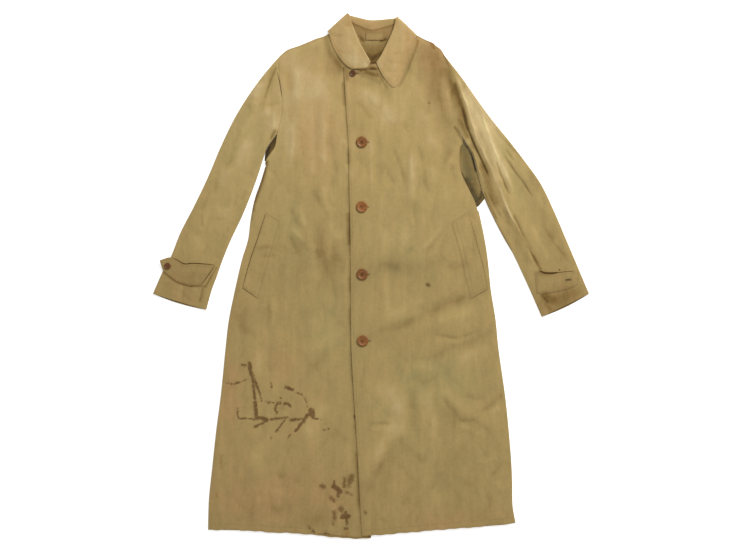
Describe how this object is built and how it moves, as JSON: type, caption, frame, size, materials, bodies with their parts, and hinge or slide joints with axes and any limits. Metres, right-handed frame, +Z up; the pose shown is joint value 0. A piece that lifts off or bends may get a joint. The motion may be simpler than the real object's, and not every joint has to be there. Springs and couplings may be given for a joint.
{
  "type": "raincoat laid flat",
  "caption": "Long khaki gabardine raincoat laid flat, buttoned, with a turn-down collar, two-piece sleeves, cuff straps and slanted welt pockets.",
  "frame": {"origin": "middle of the coat's outline, on the surface that it lies on", "axes": "+Y towards the collar, +X towards the wearer's left sleeve, +Z up from the surface through the fronts"},
  "size_m": [1.0035, 1.2074, 0.0118],
  "materials": {
    "gabardine": "worn cotton gabardine, khaki",
    "button": "polished reddish-brown"
  },
  "bodies": {
    "root": {"back_right": "gabardine", "back_left": "gabardine", "front_right": "gabardine", "front_left": "gabardine", "sleeve_top_right": "gabardine", "sleeve_under_right": "gabardine", "sleeve_top_left": "gabardine", "sleeve_under_left": "gabardine", "collar_fall": "gabardine", "collar_stand": "gabardine", "pocket_welt_right": "gabardine", "pocket_welt_left": "gabardine", "cuff_strap_right": "gabardine", "cuff_strap_left": "gabardine", "neck_loop": "gabardine", "button_1": "button", "button_2": "button", "button_3": "button", "button_4": "button", "button_5": "button", "cuff_button": "button"}
  },
  "joints": []
}
